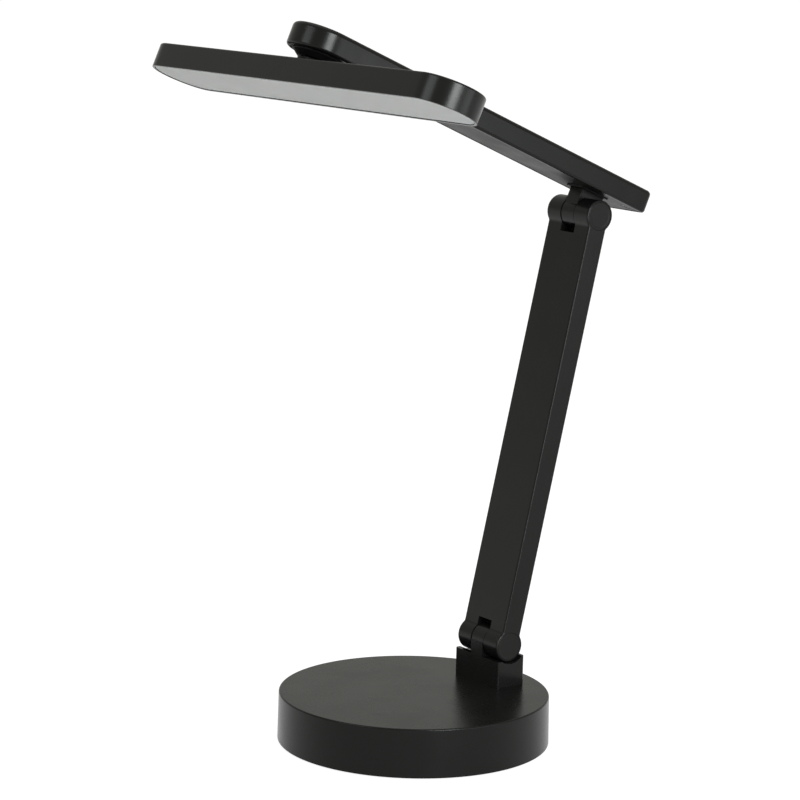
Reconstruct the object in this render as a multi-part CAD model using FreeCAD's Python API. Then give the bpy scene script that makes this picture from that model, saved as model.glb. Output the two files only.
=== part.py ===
import FreeCAD
import Part
import math
import os

from FreeCAD import Placement, Rotation, Vector

# LED desk lamp: a weighted round base, two hinged arms and a slim swivelling light head.
# Lengths are millimetres, angles are degrees, +Z is up and the light head is on the -X side.
# The origin is the middle of the foot pad's underside.

# Pose in which the lamp is drawn.
lower_arm_lean = 12.9
upper_arm_rise = 23.4

# Clearances.
seat_gap = 0.15
running_gap = 0.05
washer_gap = 0.05
lead_gap = 0.3
overrun = 1.0

# Screws: one size throughout.
screw_radius = 1.25
screw_head_radius = 2.4
screw_head_height = 1.4
screw_tip_gap = 0.4
drive_width = 0.6
drive_span = 2.8
drive_depth = 0.7

# Wiring.
lead_radius = 1.2
lead_bend = 4.0

# Base shell.
base_height = 25.0
base_draft = 0.9
base_wall = 2.4
base_top = 2.8
base_edge = 0.8
boss_radius = 3.5
boss_wall_gap = 3.1

# Bottom plate, foot pad and counterweight.
pad_diameter = 130.0
pad_margin = 5.0
pad_thickness = 1.5
pad_stand = 0.8
plate_thickness = 2.4
plate_gap = 0.3
plate_screw_count = 4
plate_screw_angle = 45.0
plate_screw_bite = 8.0
weight_diameter = 112.0
weight_thickness = 8.0
weight_gap = 0.5
weight_screw_spread = 70.0
weight_screw_bite = 5.0

# Control board and touch sensor inside the base.
board_x = -5.0
board_length = 44.0
board_width = 30.0
board_thickness = 1.6
foam_thickness = 1.5
foam_margin = 2.0
chip_side = 9.0
chip_height = 1.6
coil_radius = 4.0
coil_height = 5.0
part_x_share = 0.22
part_y_share = 0.24
contact_radius = 3.0
contact_x_share = -0.25
lead_start_share = 0.3
touch_radius = 12.0
touch_thickness = 0.3

# Power inlet in the rear wall of the base.
inlet_width = 13.0
inlet_height = 12.0
inlet_depth = 9.0
inlet_back_wall = 2.0
port_width = 8.94
port_height = 3.26
port_wall = 0.3
port_sink = 0.4
port_rim_gap = 0.2
tongue_width = 6.7
tongue_thickness = 0.7
tongue_sink = 1.2
inlet_lead_radius = 0.7
inlet_lead_offset = 4.0

# Hinge post on the base.
post_rim_inset = 13.4
base_axis_rise = 21.0
post_width = 37.4
post_depth = 17.2
post_front_reach = 8.4
post_front_height = 13.8
post_back_height = 15.6
post_corner = 1.0
post_screw_spread = 25.0
post_screw_bite = 8.0
trough_gap = 0.7

# Hinges: the base hinge and the elbow are alike.
ear_radius = 8.3
barrel_length = 34.8
barrel_edge = 0.35
slot_width = 11.2
knuckle_width = 10.0
knuckle_radius = 8.0
knuckle_gap = 0.5
neck_depth = 15.0
window_reach = 11.0
tongue_bore_offset = 4.7
pin_radius = 2.5
pin_head_radius = 4.6
pin_head_height = 3.0
pin_tail = 0.2
nut_across = 8.0
nut_height = 3.2
nut_pocket_radius = 5.3
nut_pocket_depth = 4.5
spring_washer_radius = 4.6
spring_washer_thickness = 0.8
friction_washer_radius = 7.7
cap_radius = 7.2
cap_thickness = 1.6
cap_sink = 0.2
cap_edge = 0.3

# Lower arm.
arm_width = 33.6
lower_arm_depth = 11.4
lower_arm_length = 227.4
arm_wall = 2.0
arm_edge = 0.8
arm_web = 4.0
lower_cover_thickness = 2.2
arm_boss_radius = 3.0
arm_boss_inset = 14.0
arm_boss_spread = 18.0
arm_screw_bite = 4.5

# Upper arm.
upper_underside = 12.0
upper_arm_depth = 11.9
upper_rear_reach = 28.5
upper_rear_corner = 3.5
upper_top_edge = 2.2
upper_bottom_edge = 1.6
upper_top = 2.2
upper_ledge = 0.8
upper_cover_thickness = 2.2
upper_cover_sink = 0.2
upper_screw_inset = 8.0
upper_screw_spread = 17.0
upper_screw_bite = 5.0
neck_hole_gap = 0.3
collar_width = 1.2
collar_height = 0.7
bracket_length = 30.0
bracket_width = 24.0
bracket_thickness = 2.5
bracket_screw_spread_x = 23.0
bracket_screw_spread_y = 17.0
bracket_screw_bite = 3.0
bracket_head_gap = 0.3

# Swivel between the upper arm and the light head.
swivel_reach = 183.3
bush_flange_radius = 13.0
bush_flange_height = 3.0
bush_spigot_radius = 7.4
bush_stand = 0.3
swivel_slit = 0.4
stem_radius = 5.0
stem_flange_radius = 9.3
stem_flange_height = 3.7
stem_flare = 2.2
stem_tail = 0.4
stem_screw_circle = 14.0
stem_screw_count = 3
stem_screw_angle = 30.0
stem_screw_bite = 2.8
swivel_washer_radius = 8.0
swivel_washer_thickness = 0.8
swivel_nut_across = 13.0
swivel_nut_height = 3.0

# Light head.
head_length = 262.8
head_width = 34.9
head_depth = 12.7
head_edge = 1.0
head_wall = 1.4
head_top = 1.8
head_ledge = 0.9
diffuser_thickness = 1.5
diffuser_sink = 0.3
tape_thickness = 0.3
led_board_length = 236.0
led_board_width = 24.0
led_board_thickness = 1.2
led_board_hole_radius = 11.5
led_count = 20
led_end_margin = 6.0
led_row_spread = 12.0
led_length = 3.5
led_width = 2.8
led_height = 0.8
reflector_thickness = 0.3
reflector_gap = 0.5
socket_length = 6.0
socket_width = 4.0
socket_height = 3.4
socket_margin = 1.5

# Plan of the base: the shell stands out past the pad, the plate's screws sit just inside its wall
# and the hinge post keeps its distance from the rim.
base_diameter = pad_diameter + 2 * pad_margin
plate_screw_circle = base_diameter - 2 * (base_wall + boss_wall_gap + boss_radius)
post_back_x = base_diameter / 2 - post_rim_inset
post_front_x = post_back_x - post_depth
base_axis_x = post_front_x + post_front_reach

# Heights in the base, from the table up.
rim_z = pad_stand
plate_z = pad_thickness
plate_top_z = plate_z + plate_thickness
weight_top_z = plate_top_z + weight_thickness
board_z = weight_top_z + foam_thickness
board_top_z = board_z + board_thickness
base_top_z = rim_z + base_height
ceiling_z = base_top_z - base_top
base_axis_z = base_top_z + base_axis_rise

# Places along a hinge axis, from the arm's middle plane outwards.
slot_half = slot_width / 2
knuckle_half = knuckle_width / 2
barrel_half = barrel_length / 2
cap_seat_y = barrel_half - cap_sink - cap_thickness
nut_seat_y = cap_seat_y - nut_pocket_depth

# Heights in the upper arm, measured square to it from the elbow axis.
upper_top_z = upper_underside + upper_arm_depth
upper_ceiling_z = upper_top_z - upper_top
cover_z = upper_underside + upper_cover_sink
cover_top_z = cover_z + upper_cover_thickness
bracket_z = cover_top_z + screw_head_height + bracket_head_gap
bracket_top_z = bracket_z + bracket_thickness
bush_top_z = cover_top_z + bush_stand
swivel_washer_z = bush_top_z + washer_gap
swivel_nut_z = swivel_washer_z + swivel_washer_thickness
stem_top_z = swivel_nut_z + swivel_nut_height + stem_tail
bush_low_z = upper_underside - bush_flange_height
stem_flange_top_z = bush_low_z - swivel_slit
head_top_z = stem_flange_top_z - stem_flange_height
head_ceiling_z = head_top_z - head_top
head_low_z = head_top_z - head_depth
diffuser_z = head_low_z + diffuser_sink
diffuser_top_z = diffuser_z + diffuser_thickness
led_board_top_z = head_ceiling_z - tape_thickness
led_board_low_z = led_board_top_z - led_board_thickness

# Frames of the two arms: origin on the hinge axis, local +Z along the lower arm or square to the upper arm.
turn_axis = Vector(0, 1, 0)
lower_frame = Placement(Vector(base_axis_x, 0, base_axis_z), Rotation(turn_axis, lower_arm_lean))
elbow_point = lower_frame.multVec(Vector(0, 0, lower_arm_length))
upper_frame = Placement(elbow_point, Rotation(turn_axis, upper_arm_rise))
world = Placement()


def box(x0, x1, y0, y1, z0, z1):
    return Part.makeBox(x1 - x0, y1 - y0, z1 - z0, Vector(x0, y0, z0))


def rod_x(radius, x0, x1, y, z):
    return Part.makeCylinder(radius, x1 - x0, Vector(x0, y, z), Vector(1, 0, 0))


def rod_y(radius, y0, y1, x, z):
    return Part.makeCylinder(radius, y1 - y0, Vector(x, y0, z), Vector(0, 1, 0))


def rod_z(radius, z0, z1, x, y):
    return Part.makeCylinder(radius, z1 - z0, Vector(x, y, z0), Vector(0, 0, 1))


def ring_y(outer, inner, y0, y1, x, z):
    return rod_y(outer, y0, y1, x, z).cut(rod_y(inner, y0 - overrun, y1 + overrun, x, z))


def ring_z(outer, inner, z0, z1, x, y):
    return rod_z(outer, z0, z1, x, y).cut(rod_z(inner, z0 - overrun, z1 + overrun, x, y))


def joined(shapes):
    return shapes[0].multiFuse(shapes[1:]).removeSplitter()


def cut_all(shape, tools):
    return shape.cut(Part.makeCompound(tools))


def edges_at(shape, z):
    flat = shape.BoundBox.DiagonalLength * flat_share
    return [e for e in shape.Edges if max(abs(v.Z - z) for v in e.Vertexes) < flat]


def upright_edges(shape):
    return [e for e in shape.Edges if abs(e.tangentAt(e.FirstParameter).z) > upright_share]


def prism(outline, z0, z1):
    face = Part.Face(outline)
    face.translate(Vector(0, 0, z0))
    return face.extrude(Vector(0, 0, z1 - z0))


def hexagon(across, z0, z1):
    corner = across / math.sqrt(3)
    points = []
    for step in range(7):
        angle = math.radians(60 * step)
        points.append(Vector(corner * math.cos(angle), corner * math.sin(angle), 0))
    return prism(Part.makePolygon(points), z0, z1)


def pipe(path, radius, start, direction):
    ring = Part.Wire([Part.makeCircle(radius, start, direction)])
    return Part.Wire(path).makePipeShell([ring], True, False)


def pointing(point, direction):
    return Placement(point, Rotation(Vector(0, 0, 1), direction))


def screw(length, place):
    # The head's seat is at local zero and the shank points along local +Z.
    head = rod_z(screw_head_radius, -screw_head_height, 0, 0, 0)
    body = head.fuse(rod_z(screw_radius, 0, length, 0, 0)).removeSplitter()
    low = -screw_head_height - overrun
    high = -screw_head_height + drive_depth
    across = drive_width / 2
    along = drive_span / 2
    cross = box(-along, along, -across, across, low, high).fuse(box(-across, across, -along, along, low, high))
    return moved(body.cut(cross), place)


def screw_passage(place, length):
    # Clearance through the fastened piece and a counterbore that swallows the head.
    head = rod_z(screw_head_radius + seat_gap, -screw_head_height - overrun, 0, 0, 0)
    shank = rod_z(screw_radius + seat_gap, -overrun, length, 0, 0)
    return moved(head.fuse(shank), place)


def screw_pilot(place, start, length):
    return moved(rod_z(screw_radius + running_gap, start, length + screw_tip_gap, 0, 0), place)


def moved(shape, place):
    copy = shape.copy()
    copy.Placement = place.multiply(copy.Placement)
    return copy


def save(name, shapes, frame):
    solids = []
    for shape in shapes:
        solids.extend(moved(shape, frame).Solids)
    whole = solids[0] if len(solids) == 1 else Part.makeCompound(solids)
    whole.exportStep("parts/" + name + ".step")


def wall_radius(z):
    return base_diameter / 2 - (z - rim_z) * math.tan(math.radians(base_draft))


def around(count, circle, turn):
    places = []
    for step in range(count):
        angle = math.radians(turn + 360 * step / count)
        places.append((circle / 2 * math.cos(angle), circle / 2 * math.sin(angle)))
    return places


# Shares used to pick edges out of a shape.
flat_share = 1e-6
upright_share = 0.99

# Base.
plate_screw_places = [
    pointing(Vector(x, y, plate_z + screw_head_height), Vector(0, 0, 1))
    for x, y in around(plate_screw_count, plate_screw_circle, plate_screw_angle)
]
plate_screw_length = plate_thickness - screw_head_height + plate_screw_bite
weight_screw_places = [
    pointing(Vector(0, side * weight_screw_spread / 2, plate_z + screw_head_height), Vector(0, 0, 1))
    for side in (-1, 1)
]
weight_screw_length = plate_thickness - screw_head_height + weight_screw_bite
post_x = post_front_x + post_depth / 2
post_screw_places = [
    pointing(Vector(post_x, side * post_screw_spread / 2, ceiling_z), Vector(0, 0, 1)) for side in (-1, 1)
]
post_screw_length = base_top + post_screw_bite
base_bore_x = base_axis_x + tongue_bore_offset
lead_bore = lead_radius + lead_gap
inlet_top_z = plate_top_z + inlet_height
inlet_wall_radius = wall_radius(inlet_top_z) - base_wall
inlet_front_x = math.sqrt(inlet_wall_radius ** 2 - (inlet_width / 2) ** 2) - seat_gap
inlet_back_x = inlet_front_x - inlet_depth
inlet_mid_z = plate_top_z + inlet_height / 2
port_front_x = wall_radius(inlet_mid_z) - port_sink
port_back_x = inlet_back_x + inlet_back_wall
contact_x = board_x + contact_x_share * board_width
inlet_lead_z = board_z + board_thickness / 2


def base_shell():
    height = ceiling_z + base_top / 2
    shell = Part.makeCone(wall_radius(rim_z), wall_radius(base_top_z), base_height, Vector(0, 0, rim_z))
    shell = shell.makeFillet(base_edge, edges_at(shell, base_top_z)[:1])
    low = rim_z - overrun
    hollow = Part.makeCone(
        wall_radius(low) - base_wall, wall_radius(ceiling_z) - base_wall, ceiling_z - low, Vector(0, 0, low)
    )
    shell = shell.cut(hollow)
    bosses = [rod_z(boss_radius, plate_top_z, height, p.Base.x, p.Base.y) for p in plate_screw_places]
    shell = joined([shell] + bosses)
    tools = [screw_pilot(p, 0, plate_screw_length) for p in plate_screw_places]
    for p in post_screw_places:
        tools.append(moved(rod_z(screw_radius + seat_gap, -overrun, base_top + overrun, 0, 0), p))
    tools.append(rod_z(lead_bore, ceiling_z - overrun, base_top_z + overrun, base_bore_x, 0))
    outside = wall_radius(rim_z) + overrun
    tools.append(port_slot(port_rim_gap, inlet_front_x, outside))
    return cut_all(shell, tools)


def bottom_plate():
    plate = rod_z(wall_radius(plate_top_z) - base_wall - plate_gap, plate_z, plate_top_z, 0, 0)
    tools = [screw_passage(p, plate_thickness) for p in plate_screw_places + weight_screw_places]
    return cut_all(plate, tools)


def counterweight():
    # A large disc is notched round the shell's bosses and the power inlet.
    disc = rod_z(weight_diameter / 2, plate_top_z, weight_top_z, 0, 0)
    low = plate_top_z - overrun
    high = weight_top_z + overrun
    notch = boss_radius + weight_gap
    tools = [rod_z(notch, low, high, p.Base.x, p.Base.y) for p in plate_screw_places]
    half = inlet_width / 2 + weight_gap
    tools.append(box(inlet_back_x - weight_gap, inlet_front_x + overrun, -half, half, low, high))
    tools.extend(screw_pilot(p, 0, weight_screw_length) for p in weight_screw_places)
    return cut_all(disc, tools)


def board_parts():
    x = board_x + part_x_share * board_width
    y = part_y_share * board_length
    half = chip_side / 2
    chip = box(x - half, x + half, y - half, y + half, board_top_z, board_top_z + chip_height)
    coil = rod_z(coil_radius, board_top_z, board_top_z + coil_height, x, -y)
    return [chip, coil]


def control_board():
    half_x = board_width / 2
    half_y = board_length / 2
    return box(board_x - half_x, board_x + half_x, -half_y, half_y, board_z, board_top_z)


def board_foam():
    half_x = board_width / 2 - foam_margin
    half_y = board_length / 2 - foam_margin
    return box(board_x - half_x, board_x + half_x, -half_y, half_y, weight_top_z, board_z)


def board_lead():
    start = Vector(board_x + lead_start_share * board_width, 0, board_top_z + lead_radius)
    turn = Vector(base_bore_x - lead_bend, 0, start.z)
    rise = Vector(base_bore_x, 0, start.z + lead_bend)
    middle = Vector(turn.x + lead_bend * math.sin(math.pi / 4), 0, rise.z - lead_bend * math.cos(math.pi / 4))
    end = Vector(base_bore_x, 0, base_axis_z)
    path = [
        Part.makeLine(start, turn),
        Part.Arc(turn, middle, rise).toShape(),
        Part.makeLine(rise, end),
    ]
    return pipe(path, lead_radius, start, Vector(1, 0, 0))


def port_slot(grow, x0, x1):
    # Slot with round ends, wider than it is high.
    radius = port_height / 2 + grow
    reach = (port_width - port_height) / 2
    middle = box(x0, x1, -reach, reach, inlet_mid_z - radius, inlet_mid_z + radius)
    ends = [rod_x(radius, x0, x1, side * reach, inlet_mid_z) for side in (-1, 1)]
    return joined([middle] + ends)


def power_inlet():
    half = inlet_width / 2
    block = box(inlet_back_x, inlet_front_x, -half, half, plate_top_z, inlet_top_z)
    block = block.cut(port_slot(seat_gap, port_back_x, inlet_front_x + overrun))
    across = tongue_width / 2
    thick = tongue_thickness / 2
    tip = port_front_x - tongue_sink
    root = port_back_x - inlet_back_wall / 2
    tongue = box(root, tip, -across, across, inlet_mid_z - thick, inlet_mid_z + thick)
    return joined([block, tongue])


def power_port():
    inside = port_slot(-port_wall, port_back_x - overrun, port_front_x + overrun)
    return port_slot(0, port_back_x, port_front_x).cut(inside)


def hinge_post():
    half = post_width / 2
    block = box(post_front_x, post_back_x, -half, half, base_top_z, base_top_z + post_back_height)
    block = block.makeFillet(post_corner, upright_edges(block))
    front_top = base_top_z + post_front_height
    wide = half + overrun
    step = box(post_front_x - overrun, base_axis_x, -wide, wide, front_top, base_axis_z)
    trough = rod_y(ear_radius + trough_gap, -wide, wide, base_axis_x, base_axis_z)
    block = cut_all(block, [step, trough])
    neck_back = base_axis_x + neck_depth / 2
    low = base_top_z + post_corner
    neck = box(post_front_x, neck_back, -knuckle_half, knuckle_half, low, base_axis_z)
    knuckle = rod_y(knuckle_radius, -knuckle_half, knuckle_half, base_axis_x, base_axis_z)
    post = joined([block, neck, knuckle])
    high = base_axis_z + knuckle_radius + overrun
    tools = [
        rod_y(pin_radius + running_gap, -wide, wide, base_axis_x, base_axis_z),
        rod_z(lead_bore, base_top_z - overrun, high, base_bore_x, 0),
    ]
    tools.extend(screw_pilot(p, 0, post_screw_length) for p in post_screw_places)
    return cut_all(post, tools)


# Hinge hardware, built about a hinge axis that lies on local Y at the given height.
def hinge_pin(z):
    shaft_end = -nut_seat_y - spring_washer_thickness - nut_height - pin_tail
    shaft = rod_y(pin_radius, shaft_end, nut_seat_y, 0, z)
    head = rod_y(pin_head_radius, nut_seat_y, nut_seat_y + pin_head_height, 0, z)
    return shaft.fuse(head).removeSplitter()


def hinge_nut(z):
    body = hexagon(nut_across, 0, nut_height)
    body = body.cut(rod_z(pin_radius + running_gap, -overrun, nut_height + overrun, 0, 0))
    seat = -nut_seat_y - spring_washer_thickness
    return moved(body, pointing(Vector(0, seat, z), Vector(0, -1, 0)))


def hinge_spring_washer(z):
    seat = -nut_seat_y
    return ring_y(spring_washer_radius, pin_radius + seat_gap, seat - spring_washer_thickness, seat, 0, z)


def hinge_friction_washers(z):
    inner = knuckle_half + washer_gap
    outer = slot_half - washer_gap
    bore = pin_radius + seat_gap
    return [
        ring_y(friction_washer_radius, bore, inner, outer, 0, z),
        ring_y(friction_washer_radius, bore, -outer, -inner, 0, z),
    ]


def hinge_caps(z):
    caps = []
    for side in (-1, 1):
        cap = rod_z(cap_radius, 0, cap_thickness, 0, 0)
        cap = cap.makeChamfer(cap_edge, edges_at(cap, cap_thickness)[:1])
        caps.append(moved(cap, pointing(Vector(0, side * cap_seat_y, z), Vector(0, side, 0))))
    return caps


def hinge_cuts(z, inward):
    # Slot for the tongue, window for its swing, seats for pin, nut and caps. Inward is +1 or -1 along the arm.
    far = barrel_half + overrun
    slot = rod_y(knuckle_radius + knuckle_gap, -slot_half, slot_half, 0, z)
    reach = z + inward * window_reach
    front = -ear_radius - overrun
    window = box(front, 0, -slot_half, slot_half, min(z, reach), max(z, reach))
    cuts = [slot, window, rod_y(pin_radius + running_gap, -far, far, 0, z)]
    for side in (-1, 1):
        seat = side * cap_seat_y
        pocket = side * nut_seat_y
        end = side * far
        cuts.append(rod_y(cap_radius + seat_gap, min(seat, end), max(seat, end), 0, z))
        cuts.append(rod_y(nut_pocket_radius, min(pocket, end), max(pocket, end), 0, z))
    return cuts


# Lower arm, in its own frame.
lower_front = -lower_arm_depth / 2
lower_back = lower_arm_depth / 2
lower_cover_x = lower_back - lower_cover_thickness
hollow_low = window_reach + arm_web
hollow_high = lower_arm_length - hollow_low
hollow_half = arm_width / 2 - arm_wall
arm_screw_places = []
for arm_screw_z in (hollow_low + arm_boss_inset, hollow_high - arm_boss_inset):
    for arm_screw_side in (-1, 1):
        arm_screw_y = arm_screw_side * arm_boss_spread / 2
        arm_screw_seat = Vector(lower_back - screw_head_height, arm_screw_y, arm_screw_z)
        arm_screw_places.append(pointing(arm_screw_seat, Vector(-1, 0, 0)))
arm_screw_length = lower_cover_thickness - screw_head_height + arm_screw_bite


def lower_arm_shell():
    half = arm_width / 2
    bar = box(lower_front, lower_back, -half, half, 0, lower_arm_length)
    bar = bar.makeFillet(arm_edge, upright_edges(bar))
    barrels = []
    for z in (0, lower_arm_length):
        barrel = rod_y(ear_radius, -barrel_half, barrel_half, 0, z)
        barrels.append(barrel.makeChamfer(barrel_edge, [e for e in barrel.Edges if len(e.Vertexes) == 1]))
    hollow = box(lower_front + arm_wall, lower_back + overrun, -hollow_half, hollow_half, hollow_low, hollow_high)
    shell = joined([bar] + barrels).cut(hollow)
    bosses = []
    for p in arm_screw_places:
        boss = rod_x(arm_boss_radius, lower_front + arm_wall / 2, lower_cover_x, p.Base.y, p.Base.z)
        bosses.append(boss)
    shell = joined([shell] + bosses)
    tools = hinge_cuts(0, 1) + hinge_cuts(lower_arm_length, -1)
    tools.append(rod_z(lead_bore, knuckle_radius, lower_arm_length - knuckle_radius, 0, 0))
    tools.extend(screw_pilot(p, 0, arm_screw_length) for p in arm_screw_places)
    return cut_all(shell, tools)


def lower_arm_cover():
    half = hollow_half - seat_gap
    plate = box(lower_cover_x, lower_back, -half, half, hollow_low + seat_gap, hollow_high - seat_gap)
    return cut_all(plate, [screw_passage(p, lower_cover_thickness) for p in arm_screw_places])


def lower_arm_lead():
    return rod_z(lead_radius, window_reach, lower_arm_length - window_reach, 0, 0)


# Upper arm, in its own frame: local -X runs towards the light head.
upper_screw_places = [
    pointing(
        Vector(upper_rear_reach - upper_screw_inset, side * upper_screw_spread / 2, cover_z + screw_head_height),
        Vector(0, 0, 1),
    )
    for side in (-1, 1)
]
upper_screw_length = upper_cover_thickness - screw_head_height + upper_screw_bite
bracket_screw_places = []
for bracket_x in (-bracket_screw_spread_x / 2, bracket_screw_spread_x / 2):
    for bracket_y in (-bracket_screw_spread_y / 2, bracket_screw_spread_y / 2):
        bracket_screw_places.append(pointing(Vector(bracket_x, bracket_y, bracket_z), Vector(0, 0, 1)))
bracket_screw_length = bracket_thickness + bracket_screw_bite
upper_lead_z = upper_ceiling_z - lead_gap - lead_radius


def upper_outline(inset):
    half = arm_width / 2 - inset
    rear = upper_rear_reach - inset
    corner = upper_rear_corner - inset * upper_rear_corner / (arm_width / 2)
    bend = corner * (1 - math.sin(math.pi / 4))
    front = -swivel_reach

    def at(x, y):
        return Vector(x, y, 0)

    edges = [
        Part.makeLine(at(front, -half), at(rear - corner, -half)),
        Part.Arc(at(rear - corner, -half), at(rear - bend, -half + bend), at(rear, -half + corner)).toShape(),
        Part.makeLine(at(rear, -half + corner), at(rear, half - corner)),
        Part.Arc(at(rear, half - corner), at(rear - bend, half - bend), at(rear - corner, half)).toShape(),
        Part.makeLine(at(rear - corner, half), at(front, half)),
        Part.Arc(at(front, half), at(front - half, 0), at(front, -half)).toShape(),
    ]
    return Part.Wire(edges)


def upper_arm_shell():
    shell = prism(upper_outline(0), upper_underside, upper_top_z)
    shell = shell.makeFillet(upper_top_edge, edges_at(shell, upper_top_z))
    shell = shell.makeFillet(upper_bottom_edge, edges_at(shell, upper_underside))
    mouth = prism(upper_outline(arm_wall), upper_underside - overrun, cover_top_z)
    hollow = prism(upper_outline(arm_wall + upper_ledge), upper_underside, upper_ceiling_z)
    shell = cut_all(shell, [mouth, hollow])
    root = upper_ceiling_z + upper_top / 2
    bosses = []
    for p in bracket_screw_places:
        bosses.append(rod_z(arm_boss_radius, bracket_top_z, root, p.Base.x, p.Base.y))
    for p in upper_screw_places:
        bosses.append(rod_z(arm_boss_radius, cover_top_z, root, p.Base.x, p.Base.y))
    shell = joined([shell] + bosses)
    tools = [screw_pilot(p, 0, bracket_screw_length) for p in bracket_screw_places]
    tools.extend(screw_pilot(p, 0, upper_screw_length) for p in upper_screw_places)
    return cut_all(shell, tools)


def neck_hole(grow, z0, z1):
    half_x = max(neck_depth / 2, knuckle_radius) + neck_hole_gap + grow
    half_y = knuckle_half + neck_hole_gap + grow
    return box(-half_x, half_x, -half_y, half_y, z0, z1)


def upper_arm_cover():
    plate = prism(upper_outline(arm_wall + seat_gap), cover_z, cover_top_z)
    collar = neck_hole(collar_width, cover_z - collar_height, cover_top_z)
    plate = joined([plate, collar])
    tools = [
        neck_hole(0, cover_z - collar_height - overrun, cover_top_z + overrun),
        rod_z(bush_spigot_radius + seat_gap, cover_z - overrun, cover_top_z + overrun, -swivel_reach, 0),
    ]
    tools.extend(screw_passage(p, upper_cover_thickness) for p in upper_screw_places)
    return cut_all(plate, tools)


def elbow_bracket():
    half = neck_depth / 2
    neck = box(-half, half, -knuckle_half, knuckle_half, 0, bracket_top_z)
    knuckle = rod_y(knuckle_radius, -knuckle_half, knuckle_half, 0, 0)
    plate_x = bracket_length / 2
    plate_y = bracket_width / 2
    plate = box(-plate_x, plate_x, -plate_y, plate_y, bracket_z, bracket_top_z)
    bracket = joined([neck, knuckle, plate])
    far = knuckle_half + overrun
    low = -knuckle_radius - overrun
    tools = [
        rod_y(pin_radius + running_gap, -far, far, 0, 0),
        rod_z(lead_bore, low, bracket_top_z + overrun, -tongue_bore_offset, 0),
    ]
    slot_low = upper_lead_z - lead_bend
    slot_end = -plate_x - overrun
    tools.append(box(slot_end, -tongue_bore_offset, -lead_bore, lead_bore, slot_low, bracket_top_z + overrun))
    for p in bracket_screw_places:
        tools.append(moved(rod_z(screw_radius + seat_gap, -overrun, bracket_thickness + overrun, 0, 0), p))
    return cut_all(bracket, tools)


def upper_arm_lead():
    # The lead comes up through the bracket and turns along the arm under its ceiling.
    x = -tongue_bore_offset
    start = Vector(x, 0, 0)
    rise = Vector(x, 0, upper_lead_z - lead_bend)
    turn = Vector(x - lead_bend, 0, upper_lead_z)
    middle = Vector(turn.x + lead_bend * math.cos(math.pi / 4), 0, rise.z + lead_bend * math.sin(math.pi / 4))
    end = Vector(-swivel_reach + swivel_nut_across, 0, upper_lead_z)
    path = [
        Part.makeLine(start, rise),
        Part.Arc(rise, middle, turn).toShape(),
        Part.makeLine(turn, end),
    ]
    return pipe(path, lead_radius, start, Vector(0, 0, 1))


def swivel_bush():
    flange = rod_z(bush_flange_radius, bush_low_z, cover_z, -swivel_reach, 0)
    spigot = rod_z(bush_spigot_radius, cover_z, bush_top_z, -swivel_reach, 0)
    bore = rod_z(stem_radius + running_gap, bush_low_z - overrun, bush_top_z + overrun, -swivel_reach, 0)
    return joined([flange, spigot]).cut(bore)


# Light head, in the upper arm's frame.
stem_screw_places = [
    pointing(Vector(x - swivel_reach, y, head_ceiling_z), Vector(0, 0, 1))
    for x, y in around(stem_screw_count, stem_screw_circle, stem_screw_angle)
]
stem_screw_length = head_top + stem_screw_bite
socket_y = led_board_hole_radius + socket_margin
led_half_run = led_board_length / 2 - led_end_margin
led_places = []
for led_step in range(led_count):
    led_y = led_half_run * (2 * led_step / (led_count - 1) - 1)
    if abs(led_y) > led_board_hole_radius + led_length:
        led_places.append((-swivel_reach - led_row_spread / 2, led_y))
        led_places.append((-swivel_reach + led_row_spread / 2, led_y))


def head_outline(inset):
    radius = head_width / 2 - inset
    end = head_length / 2 - head_width / 2
    x = -swivel_reach

    def at(dx, y):
        return Vector(x + dx, y, 0)

    edges = [
        Part.makeLine(at(radius, -end), at(radius, end)),
        Part.Arc(at(radius, end), at(0, end + radius), at(-radius, end)).toShape(),
        Part.makeLine(at(-radius, end), at(-radius, -end)),
        Part.Arc(at(-radius, -end), at(0, -end - radius), at(radius, -end)).toShape(),
    ]
    return Part.Wire(edges)


def head_housing():
    shell = prism(head_outline(0), head_low_z, head_top_z)
    shell = shell.makeFillet(head_edge, edges_at(shell, head_top_z))
    mouth = prism(head_outline(head_wall), head_low_z - overrun, diffuser_top_z)
    hollow = prism(head_outline(head_wall + head_ledge), head_low_z, head_ceiling_z)
    tools = [mouth, hollow]
    tools.append(rod_z(lead_bore, head_ceiling_z - overrun, head_top_z + overrun, -swivel_reach, 0))
    for p in stem_screw_places:
        tools.append(moved(rod_z(screw_radius + seat_gap, -overrun, head_top + overrun, 0, 0), p))
    return cut_all(shell, tools)


def swivel_stem():
    x = -swivel_reach
    flange = rod_z(stem_flange_radius, head_top_z, stem_flange_top_z, x, 0)
    flare = Part.makeCone(stem_flange_radius + stem_flare, stem_flange_radius, stem_flare, Vector(x, 0, head_top_z))
    stem = rod_z(stem_radius, head_top_z, stem_top_z, x, 0)
    body = joined([flange, flare, stem])
    tools = [rod_z(lead_bore, head_top_z - overrun, stem_top_z + overrun, x, 0)]
    tools.extend(screw_pilot(p, 0, stem_screw_length) for p in stem_screw_places)
    return cut_all(body, tools)


def swivel_nut():
    body = hexagon(swivel_nut_across, swivel_nut_z, swivel_nut_z + swivel_nut_height)
    bore = rod_z(stem_radius + running_gap, swivel_washer_z, stem_top_z + overrun, 0, 0)
    return moved(body.cut(bore), Placement(Vector(-swivel_reach, 0, 0), Rotation()))


def swivel_washer():
    return ring_z(swivel_washer_radius, stem_radius + seat_gap, swivel_washer_z, swivel_nut_z, -swivel_reach, 0)


def head_board(length, width, z0, z1):
    x = -swivel_reach
    plate = box(x - width / 2, x + width / 2, -length / 2, length / 2, z0, z1)
    return plate.cut(rod_z(led_board_hole_radius, z0 - overrun, z1 + overrun, x, 0))


def led_tape():
    return head_board(led_board_length, led_board_width, led_board_top_z, head_ceiling_z)


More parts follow.
